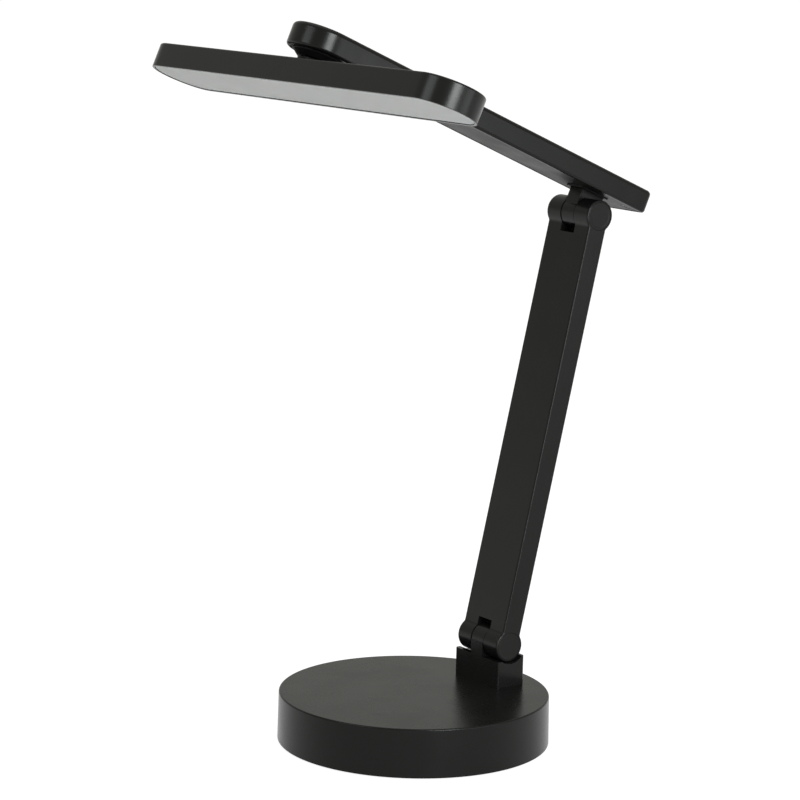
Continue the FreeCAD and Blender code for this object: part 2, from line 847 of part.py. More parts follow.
def led_board():
    return head_board(led_board_length, led_board_width, led_board_low_z, led_board_top_z)


def led_box(x, y, grow, z0, z1):
    half_x = led_width / 2 + grow
    half_y = led_length / 2 + grow
    return box(x - half_x, x + half_x, y - half_y, y + half_y, z0, z1)


def leds():
    return [led_box(x, y, 0, led_board_low_z - led_height, led_board_low_z) for x, y in led_places]


def socket_box(grow, z0, z1):
    x = -swivel_reach
    half = socket_width / 2 + grow
    return box(x - half, x + half, socket_y - grow, socket_y + socket_length + grow, z0, z1)


def led_socket():
    return socket_box(0, led_board_low_z - socket_height, led_board_low_z)


def reflector_sheet():
    low = led_board_low_z - reflector_thickness
    sheet = prism(head_outline(head_wall + head_ledge + reflector_gap), low, led_board_low_z)
    tools = [rod_z(led_board_hole_radius, low - overrun, led_board_low_z + overrun, -swivel_reach, 0)]
    tools.append(socket_box(reflector_gap, low - overrun, led_board_low_z + overrun))
    for x, y in led_places:
        tools.append(led_box(x, y, reflector_gap, low - overrun, led_board_low_z + overrun))
    return cut_all(sheet, tools)


def diffuser():
    return prism(head_outline(head_wall + seat_gap), diffuser_z, diffuser_top_z)


def head_lead():
    # The lead comes down the swivel stem and turns sideways into the socket on the LED board.
    x = -swivel_reach
    low = led_board_low_z - socket_height / 2
    start = Vector(x, 0, stem_top_z)
    fall = Vector(x, 0, low + lead_bend)
    turn = Vector(x, lead_bend, low)
    middle = Vector(x, lead_bend * (1 - math.cos(math.pi / 4)), low + lead_bend * (1 - math.sin(math.pi / 4)))
    end = Vector(x, socket_y, low)
    path = [
        Part.makeLine(start, fall),
        Part.Arc(fall, middle, turn).toShape(),
        Part.makeLine(turn, end),
    ]
    return pipe(path, lead_radius, start, Vector(0, 0, -1))


os.makedirs("parts", exist_ok=True)

save("base_shell", [base_shell()], world)
save("base_bottom_plate", [bottom_plate()], world)
save("base_plate_screws", [screw(plate_screw_length, p) for p in plate_screw_places], world)
save("counterweight", [counterweight()], world)
save("counterweight_screws", [screw(weight_screw_length, p) for p in weight_screw_places], world)
save("foot_pad", [rod_z(pad_diameter / 2, 0, pad_thickness, 0, 0)], world)
save("board_foam", [board_foam()], world)
save("control_board", [control_board()], world)
save("control_board_parts", board_parts(), world)
save("touch_contact", [rod_z(contact_radius, board_top_z, ceiling_z - touch_thickness, contact_x, 0)], world)
save("touch_plate", [rod_z(touch_radius, ceiling_z - touch_thickness, ceiling_z, contact_x, 0)], world)
save("power_inlet", [power_inlet()], world)
save("power_port", [power_port()], world)
inlet_lead_x = board_x + board_width / 2
save("inlet_lead", [rod_x(inlet_lead_radius, inlet_lead_x, inlet_back_x, -inlet_lead_offset, inlet_lead_z)], world)
save("board_lead", [board_lead()], world)
save("hinge_post", [hinge_post()], world)
save("hinge_post_screws", [screw(post_screw_length, p) for p in post_screw_places], world)

save("lower_arm_shell", [lower_arm_shell()], lower_frame)
save("lower_arm_cover", [lower_arm_cover()], lower_frame)
save("lower_arm_screws", [screw(arm_screw_length, p) for p in arm_screw_places], lower_frame)
save("lower_arm_lead", [lower_arm_lead()], lower_frame)
for hinge_name, hinge_z in (("base_hinge", 0), ("elbow", lower_arm_length)):
    save(hinge_name + "_pin", [hinge_pin(hinge_z)], lower_frame)
    save(hinge_name + "_nut", [hinge_nut(hinge_z)], lower_frame)
    save(hinge_name + "_spring_washer", [hinge_spring_washer(hinge_z)], lower_frame)
    save(hinge_name + "_friction_washers", hinge_friction_washers(hinge_z), lower_frame)
    save(hinge_name + "_caps", hinge_caps(hinge_z), lower_frame)

save("elbow_bracket", [elbow_bracket()], upper_frame)
save("elbow_bracket_screws", [screw(bracket_screw_length, p) for p in bracket_screw_places], upper_frame)
save("upper_arm_shell", [upper_arm_shell()], upper_frame)
save("upper_arm_cover", [upper_arm_cover()], upper_frame)
save("upper_arm_screws", [screw(upper_screw_length, p) for p in upper_screw_places], upper_frame)
save("upper_arm_lead", [upper_arm_lead()], upper_frame)
save("swivel_bush", [swivel_bush()], upper_frame)

save("swivel_stem", [swivel_stem()], upper_frame)
save("swivel_stem_screws", [screw(stem_screw_length, p) for p in stem_screw_places], upper_frame)
save("swivel_washer", [swivel_washer()], upper_frame)
save("swivel_nut", [swivel_nut()], upper_frame)
save("head_housing", [head_housing()], upper_frame)
save("led_tape", [led_tape()], upper_frame)
save("led_board", [led_board()], upper_frame)
save("leds", leds(), upper_frame)
save("led_socket", [led_socket()], upper_frame)
save("reflector_sheet", [reflector_sheet()], upper_frame)
save("diffuser", [diffuser()], upper_frame)
save("head_lead", [head_lead()], upper_frame)
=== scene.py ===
import math

import bmesh
import bpy
import numpy as np
from mathutils import Matrix, Vector


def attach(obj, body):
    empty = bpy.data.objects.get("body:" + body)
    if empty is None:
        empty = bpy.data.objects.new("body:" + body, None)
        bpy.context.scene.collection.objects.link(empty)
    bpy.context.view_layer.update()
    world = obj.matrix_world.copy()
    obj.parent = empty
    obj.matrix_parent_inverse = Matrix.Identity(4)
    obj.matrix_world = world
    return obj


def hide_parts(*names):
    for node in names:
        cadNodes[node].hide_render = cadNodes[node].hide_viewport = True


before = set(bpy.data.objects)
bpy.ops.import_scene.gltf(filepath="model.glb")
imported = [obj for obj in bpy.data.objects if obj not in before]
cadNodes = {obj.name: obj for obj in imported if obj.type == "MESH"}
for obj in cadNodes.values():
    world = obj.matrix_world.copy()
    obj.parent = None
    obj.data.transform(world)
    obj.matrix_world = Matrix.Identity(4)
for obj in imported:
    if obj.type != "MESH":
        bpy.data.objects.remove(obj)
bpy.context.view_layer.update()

# Pieces are worked out in millimetres, each in the frame of its own arm, then set down in metres.
millimetre = 0.001
hingeX, hingeZ = 47.8, 46.8  # base hinge axis
elbowHeight = 227.4  # elbow axis above the base hinge, along the lower arm
swivelX = -183.3  # swivel axis along the upper arm
lowerLean, upperLean = 12.9, 23.4  # degrees about the Y axis
elbowX = hingeX + elbowHeight * math.sin(math.radians(lowerLean))
elbowZ = hingeZ + elbowHeight * math.cos(math.radians(lowerLean))
tableFrame = {"origin": (0.0, 0.0, 0.0), "lean": 0.0}
lowerFrame = {"origin": (hingeX, 0.0, hingeZ), "lean": lowerLean}  # local +Z up the lower arm
upperFrame = {"origin": (elbowX, 0.0, elbowZ), "lean": upperLean}  # local -X out along the upper arm

creaseAngle = 38  # degrees past which an edge is shaded sharp
mergeDigits = 5  # decimals to which points of a grid are taken as one
cutPast = 25  # where a cut ends that only has to clear its piece


def setDown(piece, place):
    shift = Matrix.Translation(Vector(place["origin"]) * millimetre)
    turn = Matrix.Rotation(math.radians(place["lean"]), 4, "Y")
    piece.data.transform(shift @ turn @ Matrix.Scale(millimetre, 4))
    piece.data.update()


def meshPiece(name, points, faces):
    mesh = bpy.data.meshes.new(name)
    mesh.from_pydata(points, [], faces)
    piece = bpy.data.objects.new(name, mesh)
    bpy.context.scene.collection.objects.link(piece)
    return piece


def shadeByAngle(piece, degrees=creaseAngle):
    mesh = piece.data
    mesh.polygons.foreach_set("use_smooth", np.ones(len(mesh.polygons), dtype=bool))
    mesh.set_sharp_from_angle(angle=math.radians(degrees))
    mesh.update()


# A grid of points becomes a closed skin: neighbours make quads, points that meet are merged so that
# seams and poles close, and the whole is turned over if the volume it holds comes out negative.
def gridSkin(name, grid, closedProfile=False):
    rings, across = grid.shape[:2]
    index = np.arange(rings * across).reshape(rings, across)
    ahead = np.roll(index, -1, axis=0)
    here, there = (index, ahead) if closedProfile else (index[:, :-1], ahead[:, :-1])
    hereUp = np.roll(index, -1, axis=1) if closedProfile else index[:, 1:]
    thereUp = np.roll(ahead, -1, axis=1) if closedProfile else ahead[:, 1:]
    quads = np.stack([here, there, thereUp, hereUp], axis=-1).reshape(-1, 4)
    points = grid.reshape(-1, 3)
    rounded = np.round(points, mergeDigits)
    first, merged = np.unique(rounded, axis=0, return_index=True, return_inverse=True)[1:]
    points = points[first]
    quads = merged.reshape(-1)[quads]
    doubled = quads == np.roll(quads, -1, axis=1)
    whole = quads[doubled.sum(axis=1) == 0]
    pinched = doubled.sum(axis=1) == 1
    triangles = quads[pinched][~doubled[pinched]].reshape(-1, 3)
    halves = np.concatenate([whole[:, [0, 1, 2]], whole[:, [0, 2, 3]], triangles])
    a, b, c = (points[halves[:, i]] for i in range(3))
    if np.einsum("ij,ij->i", a, np.cross(b, c)).sum() < 0:
        whole, triangles = whole[:, ::-1], triangles[:, ::-1]
    piece = meshPiece(name, points, whole.tolist() + triangles.tolist())
    shadeByAngle(piece)
    return piece


# An outline carried along a run, with its first and last ring filled in as flat ends.
def cappedSkin(name, grid):
    rings, across = grid.shape[:2]
    index = np.arange(rings * across).reshape(rings, across)
    ahead = np.roll(index, -1, axis=0)
    quads = np.stack([index[:, :-1], index[:, 1:], ahead[:, 1:], ahead[:, :-1]], axis=-1).reshape(-1, 4)
    ends = [index[:, 0].tolist(), index[::-1, -1].tolist()]
    return meshPiece(name, grid.reshape(-1, 3), quads.tolist() + ends)


# Straight runs whose corners are swapped for arcs that touch both runs; a point just before and after
# each arc keeps the flats flat in the shading. Each corner is (first, second, arc radius).
def roundedRun(corners, steps=7, closed=False, hold=0.05):
    runs = []
    count = len(corners)
    for i, (first, second, radius) in enumerate(corners):
        point = np.array([first, second], dtype=float)
        if radius == 0 or (not closed and i in (0, count - 1)):
            runs.append(point[None])
            continue
        back = np.array(corners[i - 1][:2]) - point
        on = np.array(corners[(i + 1) % count][:2]) - point
        back, on = back / np.linalg.norm(back), on / np.linalg.norm(on)
        half = math.acos(np.clip(back @ on, -1, 1)) / 2
        reach = radius / math.tan(half)
        centre = point + (back + on) / np.linalg.norm(back + on) * radius / math.sin(half)
        start, end = point + back * reach - centre, point + on * reach - centre
        sweep = math.pi - 2 * half
        t = np.linspace(0, 1, steps + 1)[:, None]
        arc = centre + (np.sin((1 - t) * sweep) * start + np.sin(t * sweep) * end) / math.sin(sweep)
        runs += [(centre + start + back * hold)[None], arc, (centre + end + on * hold)[None]]
    return np.concatenate(runs)


# Lathe: a run of (radius, height) is carried round an upright axis.
def turnedGrid(run, steps, centre=(0.0, 0.0)):
    angle = np.linspace(0, 2 * math.pi, steps, endpoint=False)[:, None]
    radius, height = run[:, 0][None], run[:, 1][None]
    x = centre[0] + radius * np.cos(angle)
    y = centre[1] + radius * np.sin(angle)
    return np.stack([x, y, np.broadcast_to(height, x.shape)], axis=-1)


# Sweep: a run of (inset, height) is carried round a plan, and each ring is the plan moved in by its inset.
def carriedGrid(plan, run):
    x, y = plan(run[:, 0])
    return np.stack([x, y, np.broadcast_to(run[:, 1][None], x.shape)], axis=-1)


# Long bar with half-round ends: each point stands off one of two end centres, or the line between them,
# by half the width less the inset, so a full inset folds the outline onto that line.
def barOutline(inset, length, width, arcSteps, sideSteps):
    end = length / 2 - width / 2
    turn = np.linspace(0, math.pi, arcSteps + 1)
    along = np.linspace(end, -end, sideSteps + 1)[1:-1]
    flat = np.zeros_like(along)
    outX = np.concatenate([np.cos(turn), flat - 1, -np.cos(turn), flat + 1])[:, None]
    outY = np.concatenate([np.sin(turn), flat, -np.sin(turn), flat])[:, None]
    midY = np.concatenate([0 * turn + end, along, 0 * turn - end, -along])[:, None]
    stand = width / 2 - np.asarray(inset)[None]
    return outX * stand, midY + outY * stand


# Upper arm plan: a half round in front, straight sides and two small corner arcs behind, all moved in
# by the inset.
def armOutline(inset, half, front, rear, corner, noseSteps=48, cornerSteps=8, sideSteps=24):
    inset = np.asarray(inset, dtype=float)[None]
    nose = np.linspace(math.pi / 2, 3 * math.pi / 2, noseSteps + 1)[:, None]
    quarter = np.linspace(0, math.pi / 2, cornerSteps + 1)[:, None]
    t = np.linspace(0, 1, sideSteps + 1)[1:-1][:, None]
    room = np.maximum(corner, inset)
    small = np.maximum(corner - inset, 0)
    side, cornerX, cornerY = half - inset, rear - room, half - room
    noseX, noseY = front + np.cos(nose) * side, np.sin(nose) * side
    lowX, lowY = front + t * (cornerX - front), 0 * t - side
    rightX, rightY = cornerX + np.sin(quarter) * small, -cornerY - np.cos(quarter) * small
    leftX, leftY = cornerX + np.cos(quarter) * small, cornerY + np.sin(quarter) * small
    highX, highY = cornerX - t * (cornerX - front), 0 * t + side
    return (np.concatenate([noseX, lowX, rightX, leftX, highX]),
            np.concatenate([noseY, lowY, rightY, leftY, highY]))


# Lower arm from the side: a round at each hinge, straight edges between them and a small hollow arc at
# each join. An inset shortens the rounds and the bar and lengthens the hollow arcs by as much, about the
# same centres.
def hingeOutline(inset, radius, half, blend, length, roundSteps=90, hollowSteps=8, sideSteps=40):
    inset = np.asarray(inset, dtype=float)[None]
    far, rise = half + blend, math.sqrt((radius + blend) ** 2 - (half + blend) ** 2)
    meet = math.atan2(rise, far)
    turn = np.linspace(-meet, math.pi + meet, roundSteps + 1)[:, None]
    bend = np.linspace(0, meet, hollowSteps + 1)[:, None]
    along = np.linspace(rise, length - rise, sideSteps + 1)[1:-1][:, None]
    big, small = radius - inset, blend + inset
    up, down = bend[:-1], bend[::-1][1:]
    side = half - inset + 0 * along
    x = [-big * np.cos(turn), far - small * np.cos(down), side, far - small * np.cos(up),
         big * np.cos(turn), small * np.cos(down) - far, -side, small * np.cos(up) - far]
    z = [-big * np.sin(turn), rise - small * np.sin(down), along + 0 * inset,
         length - rise + small * np.sin(up), length + big * np.sin(turn),
         length - rise + small * np.sin(down), along[::-1] + 0 * inset, rise - small * np.sin(up)]
    return np.concatenate(x), np.concatenate(z)


# Box: four corners, each swapped for an arc where a radius is given.
def boxOutline(a0, a1, b0, b1, radius=0.0, steps=5, hold=0.0001):
    corners = [(a0, b0, radius), (a1, b0, radius), (a1, b1, radius), (a0, b1, radius)]
    return roundedRun(corners, steps, closed=True, hold=hold) if radius else np.array(corners)[:, :2]


def centredBox(halfA, halfB, radius=0.0):
    return boxOutline(-halfA, halfA, -halfB, halfB, radius)


# Circle: the centre plus the radius times cosine and sine.
def roundOutline(radius, a, b, steps):
    angle = np.linspace(0, 2 * math.pi, steps, endpoint=False)
    return np.column_stack([a + radius * np.cos(angle), b + radius * np.sin(angle)])


# Stick: an outline of two coordinates carried straight along the third axis, both ends capped.
# Along "x" the outline is in (y, z), along "y" in (z, x) and along "z" in (x, y).
def stick(name, outline, axis, low, high):
    outline = np.asarray(outline, dtype=float)
    count = len(outline)
    order = {"x": [2, 0, 1], "y": [1, 2, 0], "z": [0, 1, 2]}[axis]
    ends = [np.column_stack([outline, np.full(count, level)]) for level in (low, high)]
    points = np.concatenate(ends)[:, order]
    step = np.arange(count)
    after = np.roll(step, -1)
    sides = np.stack([step, after, after + count, step + count], axis=-1)
    faces = sides.tolist() + [step[::-1].tolist(), (step + count).tolist()]
    return meshPiece(name, points, faces)


def stickAcross(name, outline, half):
    return stick(name, outline, "y", -half, half)


def applyModifiers(piece):
    shaped = bpy.data.meshes.new_from_object(piece.evaluated_get(bpy.context.evaluated_depsgraph_get()))
    piece.modifiers.clear()
    piece.data = shaped


# Each tool is cut from the body or joined to it, in order, and then taken away.
def fitTogether(body, tools, how):
    for tool in tools:
        step = body.modifiers.new(tool.name, "BOOLEAN")
        step.operation, step.solver, step.object = how, "EXACT", tool
    applyModifiers(body)
    for tool in tools:
        bpy.data.objects.remove(tool)


# Edges left sharp by the cuts are eased. Merged flats take normals weighted by area and so stay flat in
# the shading.
easing = {"weld": 0.0004, "flatAngle": 0.6, "cornerAngle": 28, "allSmooth": 180, "areaWeight": 50}


def easeEdges(piece, width, steps=3, merge=True):
    work = bmesh.new()
    work.from_mesh(piece.data)
    bmesh.ops.remove_doubles(work, verts=work.verts, dist=easing["weld"])
    if merge:
        flatAngle = math.radians(easing["flatAngle"])
        bmesh.ops.dissolve_limit(work, angle_limit=flatAngle, verts=work.verts, edges=work.edges)
    work.to_mesh(piece.data)
    work.free()
    shadeByAngle(piece, easing["allSmooth"])
    ease = piece.modifiers.new("eased edges", "BEVEL")
    ease.width, ease.segments, ease.limit_method = width, steps, "ANGLE"
    ease.angle_limit = math.radians(easing["cornerAngle"])
    ease.harden_normals = not merge
    ease.use_clamp_overlap = True
    if merge:
        flat = piece.modifiers.new("flat faces", "WEIGHTED_NORMAL")
        flat.mode, flat.weight, flat.keep_sharp = "FACE_AREA", easing["areaWeight"], True
    applyModifiers(piece)


# Several meshes become the one mesh of a piece, in the order given.
def gather(piece, meshes):
    work = bmesh.new()
    for mesh in meshes:
        work.from_mesh(mesh)
    work.to_mesh(piece.data)
    work.free()
    shadeByAngle(piece)


def finishPiece(piece, place, body, nodes, material):
    setDown(piece, place)
    piece.data.materials.clear()
    piece.data.materials.append(material)
    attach(piece, body)
    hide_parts(*nodes)


# A new node: each input takes a link where a socket is given, and a plain value otherwise.
def addNode(tree, kind, inputs=None):
    node = tree.nodes.new("ShaderNode" + kind)
    for socket, value in (inputs or {}).items():
        if isinstance(value, bpy.types.NodeSocket):
            tree.links.new(value, node.inputs[socket])
        else:
            node.inputs[socket].default_value = value
    return node


cloudSpan = (0.3, 0.7)  # the middle of a cloud's values, stretched to the whole range
cloudDetail = {"colour": 4.0, "rough": 3.0, "relief": 2.0}
blackTint = (1.0, 1.0, 0.96, 1.0)  # the black finishes reflect a shade warm


# Soft noise, drawn closer along an axis where a stretch is given.
def cloud(tree, coord, scale, detail, stretch=None):
    if stretch:
        coord = addNode(tree, "Mapping", {"Vector": coord, "Scale": stretch}).outputs["Vector"]
    return addNode(tree, "TexNoise", {"Vector": coord, "Scale": scale, "Detail": detail}).outputs["Fac"]


def spread(tree, value, fromSpan, toSpan):
    ranged = addNode(tree, "MapRange", {"Value": value, "From Min": fromSpan[0], "From Max": fromSpan[1],
                                        "To Min": toSpan[0], "To Max": toSpan[1]})
    return ranged.outputs["Result"]


def tones(tree, value, dark, light):
    ramp = addNode(tree, "ValToRGB", {"Fac": value})
    for stop, place, colour in zip(ramp.color_ramp.elements, cloudSpan, (dark, light)):
        stop.position = place
        stop.color = (*colour, 1)
    return ramp.outputs["Color"]


# One finish: cloudy colour, roughness that wanders at a second scale, and a fine relief at a third.
def finishMaterial(name, look):
    material = bpy.data.materials.new(name)
    material.use_nodes = True
    tree = material.node_tree
    shader = tree.nodes["Principled BSDF"]
    for socket, value in look["sockets"].items():
        shader.inputs[socket].default_value = value
    coord = addNode(tree, "TexCoord").outputs["Object"]
    stretch = look.get("stretch")
    patches = cloud(tree, coord, look["patch"], cloudDetail["colour"])
    tree.links.new(tones(tree, patches, look["dark"], look["light"]), shader.inputs["Base Color"])
    smudges = cloud(tree, coord, look["smudge"], cloudDetail["rough"], stretch)
    tree.links.new(spread(tree, smudges, cloudSpan, look["rough"]), shader.inputs["Roughness"])
    grain = cloud(tree, coord, look["grain"], cloudDetail["relief"], stretch)
    bump = addNode(tree, "Bump", {"Height": grain, "Distance": look["depth"], "Strength": look["strength"]})
    tree.links.new(bump.outputs["Normal"], shader.inputs["Normal"])
    return material


looks = {
    "satinBlack": {"dark": (0.0036, 0.0039, 0.0035), "light": (0.0050, 0.0053, 0.0048),
                   "patch": 22, "smudge": 55, "rough": (0.22, 0.28),
                   "grain": 2600, "depth": 0.00002, "strength": 0.12,
                   "sockets": {"Specular IOR Level": 0.17, "Specular Tint": blackTint}},
    "baseBlack": {"dark": (0.0032, 0.0035, 0.0031), "light": (0.0044, 0.0047, 0.0042),
                  "patch": 18, "smudge": 40, "rough": (0.24, 0.30),
                  "grain": 2400, "depth": 0.00002, "strength": 0.08,
                  "sockets": {"Specular IOR Level": 0.15, "Specular Tint": blackTint}},
    "headBlack": {"dark": (0.0038, 0.0041, 0.0037), "light": (0.0052, 0.0055, 0.0050),
                  "patch": 20, "smudge": 50, "rough": (0.22, 0.28),
                  "grain": 2600, "depth": 0.00002, "strength": 0.10,
                  "sockets": {"Specular IOR Level": 0.20, "Specular Tint": blackTint}},
    "matteBlack": {"dark": (0.0030, 0.0033, 0.0029), "light": (0.0042, 0.0045, 0.0040),
                   "patch": 24, "smudge": 60, "rough": (0.38, 0.46),
                   "grain": 2200, "depth": 0.00002, "strength": 0.12,
                   "sockets": {"Specular IOR Level": 0.10, "Specular Tint": blackTint}},
    "opal": {"dark": (0.70, 0.70, 0.695), "light": (0.73, 0.73, 0.725),
             "patch": 30, "smudge": 80, "rough": (0.42, 0.50),
             "grain": 1800, "depth": 0.00004, "strength": 0.15,
             "sockets": {"Specular IOR Level": 0.2, "Subsurface Weight": 0.15, "Subsurface Scale": 0.002}},
    "padRubber": {"dark": (0.010, 0.010, 0.010), "light": (0.018, 0.018, 0.017),
                  "patch": 120, "smudge": 60, "rough": (0.72, 0.86),
                  "grain": 1500, "depth": 0.00006, "strength": 0.5,
                  "sockets": {"Specular IOR Level": 0.3}},
    "zincSteel": {"dark": (0.46, 0.46, 0.48), "light": (0.60, 0.60, 0.60),
                  "patch": 300, "smudge": 260, "rough": (0.24, 0.40),
                  "grain": 1400, "depth": 0.00002, "strength": 0.25, "stretch": (1, 1, 8),
                  "sockets": {"Metallic": 1.0}},
    "blackScrew": {"dark": (0.015, 0.015, 0.016), "light": (0.040, 0.040, 0.042),
                   "patch": 500, "smudge": 300, "rough": (0.32, 0.46),
                   "grain": 1800, "depth": 0.00002, "strength": 0.2,
                   "sockets": {"Metallic": 0.85}},
    "bareBrass": {"dark": (0.62, 0.43, 0.17), "light": (0.76, 0.58, 0.29),
                  "patch": 260, "smudge": 220, "rough": (0.22, 0.38),
                  "grain": 1500, "depth": 0.00002, "strength": 0.2, "stretch": (1, 1, 6),
                  "sockets": {"Metallic": 1.0}},
    "castIron": {"dark": (0.13, 0.13, 0.135), "light": (0.24, 0.235, 0.23),
                 "patch": 140, "smudge": 180, "rough": (0.55, 0.78),
                 "grain": 700, "depth": 0.0002, "strength": 0.6,
                 "sockets": {"Metallic": 0.7}},
    "greenBoard": {"dark": (0.012, 0.085, 0.040), "light": (0.030, 0.160, 0.075),
                   "patch": 420, "smudge": 300, "rough": (0.30, 0.45),
                   "grain": 900, "depth": 0.00005, "strength": 0.3, "stretch": (1, 4, 1),
                   "sockets": {"Specular IOR Level": 0.5}},
    "chipBlack": {"dark": (0.010, 0.010, 0.011), "light": (0.022, 0.022, 0.022),
                  "patch": 500, "smudge": 400, "rough": (0.45, 0.6),
                  "grain": 2400, "depth": 0.00003, "strength": 0.4,
                  "sockets": {"Specular IOR Level": 0.4}},
    "whiteFilm": {"dark": (0.76, 0.76, 0.74), "light": (0.84, 0.84, 0.825),
                  "patch": 60, "smudge": 90, "rough": (0.38, 0.5),
                  "grain": 2200, "depth": 0.00002, "strength": 0.15,
                  "sockets": {"Specular IOR Level": 0.5}},
    "bareAluminium": {"dark": (0.68, 0.69, 0.70), "light": (0.82, 0.82, 0.82),
                      "patch": 200, "smudge": 240, "rough": (0.26, 0.42),
                      "grain": 1400, "depth": 0.00002, "strength": 0.25, "stretch": (8, 1, 1),
                      "sockets": {"Metallic": 1.0}},
    "phosphor": {"dark": (0.80, 0.62, 0.16), "light": (0.88, 0.75, 0.30),
                 "patch": 900, "smudge": 500, "rough": (0.35, 0.5),
                 "grain": 2600, "depth": 0.00002, "strength": 0.3,
                 "sockets": {"Specular IOR Level": 0.4}},
    "wireJacket": {"dark": (0.012, 0.012, 0.012), "light": (0.024, 0.024, 0.023),
                   "patch": 200, "smudge": 220, "rough": (0.42, 0.58),
                   "grain": 1800, "depth": 0.00003, "strength": 0.3,
                   "sockets": {"Specular IOR Level": 0.4}},
    "greyFoam": {"dark": (0.10, 0.10, 0.105), "light": (0.19, 0.19, 0.19),
                 "patch": 700, "smudge": 300, "rough": (0.85, 0.95),
                 "grain": 1100, "depth": 0.0002, "strength": 0.8,
                 "sockets": {"Specular IOR Level": 0.2}},
}
finishes = {name: finishMaterial(name, look) for name, look in looks.items()}
print("finishes:", len(finishes))

# Weighted base: a drafted drum with a crisp top edge, turned in one run and cut for the power port behind.
drum = {"foot": 70.0, "head": 69.607, "rim": 0.8, "top": 25.8, "edge": 0.8, "lip": 0.25, "wall": 2.4,
        "ceiling": 23.0, "ceilingArc": 1.0, "portZ": 9.9, "portHalf": 4.67, "portRise": 1.83,
        "portArc": 1.829, "cutFrom": 60.0, "cutTo": 75.0}
drumRun = roundedRun([(0, drum["top"], 0),
                      (drum["head"], drum["top"], drum["edge"]),
                      (drum["foot"], drum["rim"], drum["lip"]),
                      (drum["foot"] - drum["wall"], drum["rim"], drum["lip"]),
                      (drum["head"] - drum["wall"], drum["ceiling"], drum["ceilingArc"]),
                      (0, drum["ceiling"], 0)])
baseSkin = gridSkin("base_drum", turnedGrid(drumRun, steps=256))
# The slot's arcs stay just under half its height, so that a short straight run is left between them.
slotPlan = boxOutline(-drum["portHalf"], drum["portHalf"], drum["portZ"] - drum["portRise"],
                      drum["portZ"] + drum["portRise"], drum["portArc"], steps=7, hold=0.0002)
fitTogether(baseSkin, [stick("port_cut", slotPlan, "x", drum["cutFrom"], drum["cutTo"])], "DIFFERENCE")
shadeByAngle(baseSkin)
finishPiece(baseSkin, tableFrame, "base", ["base_shell"], finishes["baseBlack"])

# Foot pad: a thin disc with a soft lower edge and one shallow ring pressed into its underside.
pad = {"radius": 65.0, "top": 1.5, "topEdge": 0.15, "edge": 0.35, "ringOut": 58.0, "ringIn": 54.0,
       "ringDeep": 0.25, "ringSlope": 0.5, "ringArc": 0.2}
padRun = roundedRun([(0, pad["top"], 0),
                     (pad["radius"], pad["top"], pad["topEdge"]),
                     (pad["radius"], 0, pad["edge"]),
                     (pad["ringOut"], 0, pad["ringArc"]),
                     (pad["ringOut"] - pad["ringSlope"], pad["ringDeep"], pad["ringArc"]),
                     (pad["ringIn"] + pad["ringSlope"], pad["ringDeep"], pad["ringArc"]),
                     (pad["ringIn"], 0, pad["ringArc"]),
                     (0, 0, 0)], steps=4)
footSkin = gridSkin("foot_disc", turnedGrid(padRun, steps=160))
finishPiece(footSkin, tableFrame, "base", ["foot_pad"], finishes["padRubber"])

# Power port: a metal lip carried round a small slot that lies on its side in the rear wall.
port = {"long": 8.94, "high": 3.26, "wall": 0.3, "front": 69.457, "back": 59.9, "frontArc": 0.12,
        "backArc": 0.05}
lipRun = roundedRun([(0, port["back"], port["backArc"]),
                     (0, port["front"], port["frontArc"]),
                     (port["wall"], port["front"], port["frontArc"]),
                     (port["wall"], port["back"], port["backArc"])], steps=4, closed=True, hold=0.01)
lipZ, lipY = barOutline(lipRun[:, 0], port["long"], port["high"], arcSteps=20, sideSteps=6)
lipX = np.broadcast_to(lipRun[:, 1][None], lipZ.shape)
lipGrid = np.stack([lipX, lipY, drum["portZ"] + lipZ], axis=-1)
portSkin = gridSkin("port_lip", lipGrid, closedProfile=True)
finishPiece(portSkin, tableFrame, "base", ["power_port"], finishes["zincSteel"])
print("base done")

# Hinge post: a block with eased corners, a lower front, a trough for the arm's barrel and one knuckle.
post = {"front": 39.4, "back": 56.6, "half": 18.7, "backTop": 41.4, "frontTop": 39.6, "corner": 1.2,
        "stepTop": 50.0, "stepPast": 3, "trough": 9.0, "knuckle": 8.0, "knuckleHalf": 5.0,
        "neckBack": 55.3, "neckLow": 26.8, "neckGap": 0.02, "boreX": 52.5, "bore": 1.5, "boreLow": 20,
        "boreTop": 60, "ease": 0.28}
postPlan = boxOutline(post["front"], post["back"], -post["half"], post["half"], post["corner"])
postSkin = stick("hinge_block", postPlan, "z", drum["top"], post["backTop"])
stepSide = boxOutline(post["frontTop"], post["stepTop"], post["front"] - post["stepPast"], hingeX)
troughSide = roundOutline(post["trough"], hingeZ, hingeX, steps=128)
fitTogether(postSkin, [stickAcross("post_step", stepSide, cutPast),
                       stickAcross("post_trough", troughSide, cutPast)], "DIFFERENCE")
neckSide = boxOutline(post["neckLow"], hingeZ, post["front"] + post["neckGap"], post["neckBack"])
knuckleSide = roundOutline(post["knuckle"], hingeZ, hingeX, steps=128)
fitTogether(postSkin, [stickAcross("post_neck", neckSide, post["knuckleHalf"]),
                       stickAcross("post_knuckle", knuckleSide, post["knuckleHalf"])], "UNION")
postBore = roundOutline(post["bore"], post["boreX"], 0, steps=32)
fitTogether(postSkin, [stick("post_bore", postBore, "z", post["boreLow"], post["boreTop"])], "DIFFERENCE")
easeEdges(postSkin, post["ease"])
finishPiece(postSkin, tableFrame, "base", ["hinge_post"], finishes["satinBlack"])

